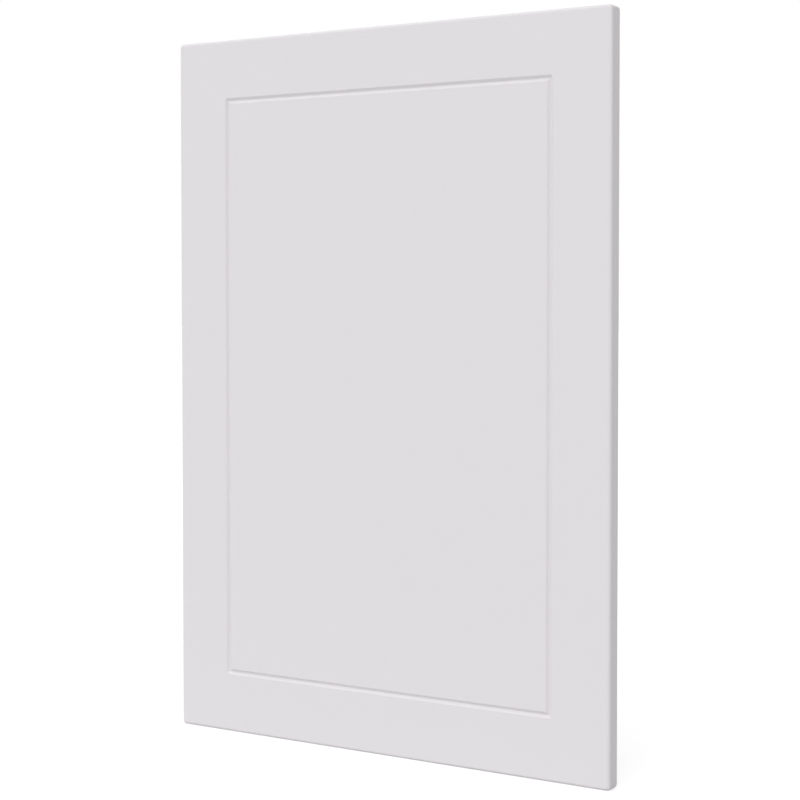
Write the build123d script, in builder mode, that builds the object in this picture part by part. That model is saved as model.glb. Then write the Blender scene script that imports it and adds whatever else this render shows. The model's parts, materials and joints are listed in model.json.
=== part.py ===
from math import radians, tan
import os

from build123d import *

# A kitchen cabinet door, upright as it hangs. Millimetres.
# +Z is up, the front faces -Y, the back faces +Y, and the width runs along X.
# The origin is midway across the width and the thickness, at the bottom edge.

# The board
door_width = 496.0
door_height = 716.0
door_thickness = 16.0
corner_radius = 4.0  # of the four corners, as seen from the front
front_edge_radius = 3.0  # of the soft edge all round the front; the back edge is square

# The groove that draws a frame on the front
groove_margin = 62.5  # from the door's edge to the middle of the groove
groove_width = 5.6  # across its mouth
groove_floor_width = 0.8  # left flat by the cutter's tip
groove_wall_angle = 50.0  # between each wall and the front's normal

# The holes in the back for two cup hinges, by the edge that is on the left seen from the front
cup_diameter = 35.0
cup_depth = 13.0
cup_edge_distance = 22.5  # from the hinged edge to the cup's middle
cup_end_distance = 100.0  # from the top or bottom edge to the cup's middle
dowel_diameter = 8.0
dowel_depth = 12.0
dowel_spacing = 45.0  # between the two dowel holes of one hinge
dowel_offset = 9.5  # from the cup's middle towards the door's middle

# Worked out from the sizes above
groove_depth = (groove_width - groove_floor_width) / 2 / tan(radians(groove_wall_angle))
frame_width = door_width - 2 * groove_margin  # between the middles of the upright grooves
frame_height = door_height - 2 * groove_margin
cup_height = door_height / 2 - cup_end_distance  # above and below the door's middle
cup_side = door_width / 2 - cup_edge_distance

# Both planes have their origin at the door's middle and their normal pointing out of the door.
front = Plane((0, -door_thickness / 2, door_height / 2), x_dir=(1, 0, 0), z_dir=(0, -1, 0))
back = Plane((0, door_thickness / 2, door_height / 2), x_dir=(-1, 0, 0), z_dir=(0, 1, 0))

with BuildPart() as door_panel:
    # The board, with its rounded corners and soft front edge
    with BuildSketch(front):
        RectangleRounded(door_width, door_height, corner_radius)
    extrude(amount=-door_thickness)
    fillet(door_panel.faces().sort_by(Axis.Y)[0].edges(), radius=front_edge_radius)

    # The groove: a tapered pocket, with the middle of the door put back as an island.
    # A turning cutter leaves the pocket's corners round and the island's corners sharp.
    with BuildSketch(front):
        RectangleRounded(frame_width + groove_width, frame_height + groove_width, groove_width / 2)
    extrude(amount=-groove_depth, taper=groove_wall_angle, mode=Mode.SUBTRACT)
    with BuildSketch(front.offset(-groove_depth)):
        Rectangle(frame_width - groove_floor_width, frame_height - groove_floor_width)
    extrude(amount=groove_depth, taper=groove_wall_angle)

    # The hinge cups, one near each end of the hinged edge
    with BuildSketch(back):
        with Locations((cup_side, cup_height), (cup_side, -cup_height)):
            Circle(cup_diameter / 2)
    extrude(amount=-cup_depth, mode=Mode.SUBTRACT)

    # Two dowel holes beside each cup
    with BuildSketch(back):
        with Locations((cup_side - dowel_offset, cup_height), (cup_side - dowel_offset, -cup_height)):
            with GridLocations(0, dowel_spacing, 1, 2):
                Circle(dowel_diameter / 2)
    extrude(amount=-dowel_depth, mode=Mode.SUBTRACT)

door_panel.part.label = "door_panel"

os.makedirs("parts", exist_ok=True)
export_step(door_panel.part, "parts/door_panel.step")
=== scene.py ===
import json
from math import cos, pi, radians, sin, tan, tau

import bmesh
import bpy
from mathutils import Matrix, Vector


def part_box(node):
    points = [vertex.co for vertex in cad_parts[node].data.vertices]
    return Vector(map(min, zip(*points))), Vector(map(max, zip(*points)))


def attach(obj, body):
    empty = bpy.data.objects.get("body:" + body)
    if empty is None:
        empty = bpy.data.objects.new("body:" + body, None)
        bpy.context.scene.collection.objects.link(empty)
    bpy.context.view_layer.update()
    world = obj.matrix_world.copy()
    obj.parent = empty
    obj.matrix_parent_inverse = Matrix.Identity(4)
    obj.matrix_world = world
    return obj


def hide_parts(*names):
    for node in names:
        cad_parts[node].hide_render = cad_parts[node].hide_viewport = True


# The looks of a kitchen cabinet door: a routed fibreboard wrapped in matt white foil, with a white
# backing and the holes for two hinges behind. Metres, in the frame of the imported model, where +Z is up
# and the front faces -Y.

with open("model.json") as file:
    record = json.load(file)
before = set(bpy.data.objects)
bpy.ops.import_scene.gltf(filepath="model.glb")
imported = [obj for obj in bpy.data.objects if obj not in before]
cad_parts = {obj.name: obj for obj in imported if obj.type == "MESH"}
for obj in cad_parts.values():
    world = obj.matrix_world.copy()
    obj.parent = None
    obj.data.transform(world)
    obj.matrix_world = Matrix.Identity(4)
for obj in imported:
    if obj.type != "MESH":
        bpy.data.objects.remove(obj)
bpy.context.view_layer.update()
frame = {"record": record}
low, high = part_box("door_panel")
width, thickness, height = high - low
middle = (low + high) / 2
mounts = {mount["name"]: mount for mount in frame["record"]["mounts"]}
mm_per_metre = 1000  # the record's sizes are in millimetres

# The door's section and how deep its dowel holes are, as in the solid
corner_radius = 0.004  # of the four corners, as seen from the front
front_edge_radius = 0.003
groove_margin = 0.0625  # from the door's edge to the middle of the groove
groove_width = 0.0056
groove_wall_angle = 50  # degrees between each wall and the front's normal
dowel_depth = 0.012

# What pressing the foil on adds to it
lip_radius = 0.0007  # where the foil bends into the groove
valley_radius = 0.001  # where it bridges the bottom of the groove
island_corner_radius = 0.0004  # of the panel inside the groove
back_arris = 0.00015  # taken off the square edge behind
foil_edge = 0.0004  # how wide the cut edge of the foil shows behind
seam_width = 0.0002  # between the foil's edge and the backing
seam_depth = 0.0001
backing_thickness = 0.0003

# What the drills leave
rim_radius = 0.00015
spur_depth = 0.0003  # of the ring that the drill's spurs cut below the floor
spur_width = 0.0007
ridge_height = 0.00008  # of the rings that its cutting edge leaves on the floor
ridge_spacing = 0.0012
point_share = 0.08  # how wide its point is, against the bore

# How finely round things are divided
corner_steps = 12
edge_steps = 12
lip_steps = 5
bore_steps = 96
flat_rim = 0.0004  # a strip kept flat beside each bend, so that it shades as flat
sharp_angle = 30  # degrees, from which a bend shades as an edge
merge_distance = 0.000001

# The finish of the surfaces; roughness goes from 0, a mirror, to 1
foil_colour = (0.73, 0.71, 0.73)
foil_roughness = (0.60, 0.68)  # from its glossiest patches to its most matt
foil_gloss = 0.35  # how much it mirrors, where 0.5 is a plain plastic
peel_size = 0.0006  # the fine texture of the foil, across and deep
peel_depth = 0.00005
sheen_size = 0.011  # the patches where a surface is a little more or less matt
backing_colour = (0.74, 0.73, 0.735)
backing_roughness = (0.36, 0.44)
pearl_size = 0.001  # the coarser texture of the backing
pearl_depth = 0.0001
pressed_detail = 3.0  # how many finer layers the textures of the foil and the backing have
dark_fibre = (0.30, 0.18, 0.10)
pale_fibre = (0.60, 0.42, 0.27)
fibre_roughness = 0.9
fibre_size = 0.0007  # the flakes of the fibreboard, which lie flat in it
fibre_depth = 0.00015
fibre_flatness = 4  # how many times wider than thick they are
fibre_detail = 5.0  # how many finer layers they have, and how strong those are
fibre_detail_strength = 0.7
noise_low = 0.3  # most values of a noise lie between these two
noise_high = 0.7

# The view
camera_place = (0.9280, -1.4727, 0.4516)
camera_turn = (88.10, 0.01, 31.705)  # degrees about X, Y and Z
camera_lens = 79.70
camera_shift = -0.055

# The light, where 1 shows a colour as it is written
room_light = 0.47
key_light = 0.622
key_direction = (-0.1, -1, 1)
key_softness = 90
back_light = 0.18
back_direction = (-0.4, 1, 0.6)
back_softness = 60
floor_colour = 0.65
floor_lift = 0.5  # brings the floor up to white for the camera, outside the shadow
floor_size = 20  # from its middle to each of its sides

# The door's materials, in the order of its slots
foil_slot, backing_slot, fibreboard_slot = range(3)


def finished_piece(bm, name, materials):
    """A piece made of this bmesh, closed and facing outwards."""
    bmesh.ops.remove_doubles(bm, verts=bm.verts, dist=merge_distance)
    bmesh.ops.recalc_face_normals(bm, faces=bm.faces)
    mesh = bpy.data.meshes.new(name)
    bm.to_mesh(mesh)
    bm.free()
    for material in materials:
        mesh.materials.append(material)
    piece = bpy.data.objects.new(name, mesh)
    bpy.context.scene.collection.objects.link(piece)
    return piece


def arc(inset, depth, radius, first, last, steps):
    """Points along an arc about (inset, depth); 90 degrees is out of the front and 180 towards the edge."""
    for step in range(steps + 1):
        angle = radians(first + (last - first) * step / steps)
        yield inset + radius * cos(angle), depth - radius * sin(angle)


def edge_section():
    """(inset from the door's edge, depth from its front) from the backing, round the edge, to the front."""
    yield foil_edge + seam_width, thickness
    yield foil_edge + seam_width / 2, thickness - seam_depth
    yield foil_edge, thickness
    yield back_arris, thickness
    yield 0, thickness - back_arris
    yield 0, thickness - back_arris - flat_rim
    yield 0, front_edge_radius + flat_rim
    yield from arc(front_edge_radius, front_edge_radius, front_edge_radius, 180, 90, edge_steps)
    yield front_edge_radius + flat_rim, 0


def groove_section():
    """The same from the front, across the groove, to the panel inside it."""
    mouth = groove_width / 2
    valley_depth = mouth / tan(radians(groove_wall_angle)) - valley_radius / sin(radians(groove_wall_angle))
    lip = mouth + lip_radius * tan(radians(90 - groove_wall_angle) / 2)
    yield groove_margin - lip - flat_rim, 0
    yield from arc(groove_margin - lip, lip_radius, lip_radius, 90, groove_wall_angle, lip_steps)
    yield from arc(groove_margin, valley_depth, valley_radius, 180 + groove_wall_angle,
                   360 - groove_wall_angle, 2 * lip_steps)
    yield from arc(groove_margin + lip, lip_radius, lip_radius, 180 - groove_wall_angle, 90, lip_steps)
    yield groove_margin + lip + flat_rim, 0


def groove_corner(inset):
    """The corner radius across the groove: round outside, as a turning cutter leaves it, tight inside."""
    return max(groove_margin - inset, island_corner_radius)


def add_ring(bm, inset, depth, radius):
    """A face with round corners, inset from the door's edge and set back from its front."""
    size = Matrix.Diagonal((width - 2 * inset, height - 2 * inset, 1, 1))
    place = Matrix.Translation((middle.x, low.y + depth, middle.z)) @ Matrix.Rotation(pi / 2, 4, "X")
    # A grid's size is half its side, so this one is a metre across before it is scaled.
    made = bmesh.ops.create_grid(bm, x_segments=1, y_segments=1, size=1 / 2, matrix=place @ size)
    bmesh.ops.bevel(bm, geom=made["verts"], affect="VERTICES", offset=radius, offset_type="OFFSET",
                    segments=corner_steps, profile=0.5, material=-1)
    bm.faces.ensure_lookup_table()
    return bm.faces[-1]


def make_board(materials):
    """The wrapped board: foil from its cut edge behind to the middle of the front, closed by the backing."""
    bm = bmesh.new()
    sections = [(inset, depth, corner_radius - inset) for inset, depth in edge_section()]
    sections += [(inset, depth, groove_corner(inset)) for inset, depth in groove_section()]
    backing = add_ring(bm, *sections[0])
    last_edges = list(backing.edges)
    for section in sections[1:]:
        face = add_ring(bm, *section)
        bmesh.ops.bridge_loops(bm, edges=last_edges + list(face.edges))
        last_edges = list(face.edges)
        if section is not sections[-1]:
            bm.faces.remove(face)
    for face in bm.faces:
        face.material_index = foil_slot
    backing.material_index = backing_slot
    return finished_piece(bm, "wrapped_door", materials)


def bore_section(radius, depth):
    """(radius, height above the back) of what a drill takes away, from its mouth to the end of its point."""
    yield 0, rim_radius
    yield radius + 2 * rim_radius, rim_radius
    yield radius, -rim_radius
    yield radius, -backing_thickness
    yield radius, -depth - spur_depth
    yield radius - spur_width / 2, -depth - spur_depth
    yield radius - spur_width, -depth
    point_radius = point_share * radius
    ring = radius - spur_width - ridge_spacing
    while ring > point_radius + ridge_spacing:
        yield ring + ridge_spacing / 2, -depth
        yield ring, -depth + ridge_height
        ring -= ridge_spacing
    yield point_radius, -depth
    yield 0, -depth - point_radius


def add_bore(bm, x, z, radius, depth):
    """What one drill takes away: backing at its mouth, and fibreboard below."""
    verts = [bm.verts.new((x + r, high.y + h, z)) for r, h in bore_section(radius, depth)]
    edges = [bm.edges.new(pair) for pair in zip(verts, verts[1:])]
    old_faces = set(bm.faces)
    bmesh.ops.spin(bm, geom=verts + edges, cent=(x, 0, z), axis=(0, 1, 0), angle=tau, steps=bore_steps,
                   use_merge=True)
    for face in set(bm.faces) - old_faces:
        inside = high.y - face.calc_center_median().y > backing_thickness
        face.material_index = fibreboard_slot if inside else backing_slot


def make_bores(materials):
    """All that is drilled out of the back: for each hinge a cup and two dowel holes."""
    bm = bmesh.new()
    for side in ("upper", "lower"):
        cup = mounts[side + "_hinge_cup"]
        x, _, z = cup["pos_m"]
        cup_radius = cup["dims"]["r_mm"] / mm_per_metre
        cup_depth = cup["dims"]["length_mm"] / mm_per_metre
        add_bore(bm, x, z, cup_radius, cup_depth)
        dowels = mounts[side + "_hinge_dowels"]
        x, _, z = dowels["pos_m"]
        dowel_radius = dowels["dims"]["hole_r_mm"] / mm_per_metre
        spacing = dowels["dims"]["spacing_y_mm"] / mm_per_metre
        for dowel_z in (z - spacing / 2, z + spacing / 2):
            add_bore(bm, x, dowel_z, dowel_radius, dowel_depth)
    return finished_piece(bm, "bores", materials)


def drill(door, bores):
    """Cuts the bores out of the door, and takes them away."""
    cut = door.modifiers.new("drill", "BOOLEAN")
    cut.operation = "DIFFERENCE"
    cut.solver = "EXACT"
    cut.object = bores
    drilled = door.evaluated_get(bpy.context.evaluated_depsgraph_get())
    mesh = bpy.data.meshes.new_from_object(drilled)
    door.modifiers.remove(cut)
    bpy.data.objects.remove(bores)
    door.data = mesh
    mesh.shade_smooth()
    mesh.set_sharp_from_angle(angle=radians(sharp_angle))


class Shading:
    """A material or world with its nodes, and short ways to add to them."""

    def __init__(self, owner):
        owner.use_nodes = True
        self.nodes = owner.node_tree.nodes
        self.links = owner.node_tree.links

    def add(self, kind, **values):
        """A node of this kind, with its inputs set, or linked where the value is another node's output."""
        node = self.nodes.new("ShaderNode" + kind)
        for name, value in values.items():
            self.put(node, name.replace("_", " "), value)
        return node

    def put(self, node, name, value):
        """Sets or links one input, given by its name or, where names repeat, its number."""
        socket = node.inputs[name]
        if isinstance(value, bpy.types.NodeSocket):
            self.links.new(value, socket)
        else:
            socket.default_value = value

    def math(self, operation, first, second):
        """The result of this operation on two numbers; a sum stays within 0 and 1."""
        node = self.add("Math")
        node.operation = operation
        node.use_clamp = operation == "ADD"
        self.put(node, 0, first)
        self.put(node, 1, second)
        return node.outputs["Value"]


def noise(shading, size, detail=2.0, roughness=0.5, flatness=1):
    """A noise that stays with the object, in cells of this size, flattened across the board's thickness."""
    place = shading.add("TexCoord").outputs["Object"]
    cells = shading.add("Mapping", Vector=place, Scale=(1 / size, flatness / size, 1 / size))
    return shading.add("TexNoise", Vector=cells.outputs["Vector"], Scale=1.0, Detail=detail,
                       Roughness=roughness).outputs["Fac"]


def between(shading, factor, first, last):
    """A number that goes from first to last as the factor goes through the values that most noise has."""
    return shading.add("MapRange", Value=factor, From_Min=noise_low, From_Max=noise_high,
                       To_Min=first, To_Max=last).outputs["Result"]


def blend_colours(shading, factor, first, last):
    """A colour that goes from the first to the last as the factor goes from 0 to 1."""
    node = shading.add("Mix")
    node.data_type = "RGBA"
    shading.put(node, "Factor", factor)
    shading.put(node, "A", (*first, 1))
    shading.put(node, "B", (*last, 1))
    return node.outputs["Result"]


def add_bumps(shading, surface, heights, depth):
    """Gives the surface the relief of these heights, from 0 to 1, over this depth."""
    bumps = shading.add("Bump", Height=heights, Strength=1.0, Distance=depth)
    shading.put(surface, "Normal", bumps.outputs["Normal"])


def white_foil():
    """A matt white pressed foil: one even colour, a fine texture and a slightly uneven sheen."""
    material = bpy.data.materials.new("matt_white_foil")
    shading = Shading(material)
    surface = shading.nodes["Principled BSDF"]
    add_bumps(shading, surface, noise(shading, peel_size, detail=pressed_detail), peel_depth)
    shading.put(surface, "Roughness", between(shading, noise(shading, sheen_size), *foil_roughness))
    shading.put(surface, "Specular IOR Level", foil_gloss)
    shading.put(surface, "Base Color", (*foil_colour, 1))
    return material


def white_backing():
    """The white melamine that faces the back of the board, a little glossier and coarser than the foil."""
    material = bpy.data.materials.new("white_backing")
    shading = Shading(material)
    surface = shading.nodes["Principled BSDF"]
    add_bumps(shading, surface, noise(shading, pearl_size, detail=pressed_detail), pearl_depth)
    shading.put(surface, "Roughness", between(shading, noise(shading, sheen_size), *backing_roughness))
    shading.put(surface, "Base Color", (*backing_colour, 1))
    return material


def bare_fibreboard():
    """The brown board that the drills lay bare, dry and matt, with its fibres in layers."""
    material = bpy.data.materials.new("bare_fibreboard")
    shading = Shading(material)
    surface = shading.nodes["Principled BSDF"]
    fibres = noise(shading, fibre_size, fibre_detail, fibre_detail_strength, fibre_flatness)
    add_bumps(shading, surface, fibres, fibre_depth)
    shading.put(surface, "Roughness", fibre_roughness)
    colour = blend_colours(shading, between(shading, fibres, 0, 1), dark_fibre, pale_fibre)
    shading.put(surface, "Base Color", colour)
    return material


def seen_or_mirrored(shading):
    """1 for the camera and for what gloss and glass show, and 0 for the light on surfaces."""
    path = shading.add("LightPath").outputs
    mirrored = shading.math("ADD", path["Is Glossy Ray"], path["Is Transmission Ray"])
    return shading.math("ADD", path["Is Camera Ray"], mirrored)


def make_floor():
    """A pale floor that keeps the door's shadow, with a glow that only the camera and gloss see."""
    bm = bmesh.new()
    bmesh.ops.create_grid(bm, x_segments=1, y_segments=1, size=floor_size)
    mesh = bpy.data.meshes.new("floor")
    bm.to_mesh(mesh)
    bm.free()
    material = bpy.data.materials.new("pale_floor")
    shading = Shading(material)
    surface = shading.nodes["Principled BSDF"]
    shading.put(surface, "Base Color", (floor_colour, floor_colour, floor_colour, 1))
    shading.put(surface, "Roughness", 1.0)
    shading.put(surface, "Specular IOR Level", 0.0)
    shading.put(surface, "Emission Color", (1, 1, 1, 1))
    glow = shading.math("MULTIPLY", seen_or_mirrored(shading), floor_lift)
    shading.put(surface, "Emission Strength", glow)
    mesh.materials.append(material)
    floor = bpy.data.objects.new("floor", mesh)
    floor.location.z = low.z
    bpy.context.scene.collection.objects.link(floor)


def light_room():
    """Even light from all round, which the camera sees as white."""
    world = bpy.data.worlds.new("studio")
    shading = Shading(world)
    strength = shading.add("MapRange", Value=seen_or_mirrored(shading), To_Min=room_light, To_Max=1.0)
    background = shading.nodes["Background"]
    shading.put(background, "Color", (1, 1, 1, 1))
    shading.put(background, "Strength", strength.outputs["Result"])
    bpy.context.scene.world = world


def add_sun(name, direction, strength, softness):
    """A soft far light; direction points to it, and a white face square to it renders at its strength."""
    light = bpy.data.lights.new(name, "SUN")
    light.energy = pi * strength
    light.angle = radians(softness)
    lamp = bpy.data.objects.new(name, light)
    lamp.rotation_euler = Vector(direction).to_track_quat("Z", "Y").to_euler()
    bpy.context.scene.collection.objects.link(lamp)


def add_camera():
    """The view that shows the door as the photograph does."""
    lens = bpy.data.cameras.new("camera")
    lens.lens = camera_lens
    lens.shift_y = camera_shift
    camera = bpy.data.objects.new("camera", lens)
    camera.location = camera_place
    camera.rotation_euler = [radians(angle) for angle in camera_turn]
    bpy.context.scene.collection.objects.link(camera)
    bpy.context.scene.camera = camera


door_materials = (white_foil(), white_backing(), bare_fibreboard())
door = make_board(door_materials)
drill(door, make_bores(door_materials))
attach(door, "root")
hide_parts("door_panel")

make_floor()
light_room()
add_sun("key", key_direction, key_light, key_softness)
add_sun("back_fill", back_direction, back_light, back_softness)
add_camera()
bpy.context.scene.view_settings.view_transform = "Standard"
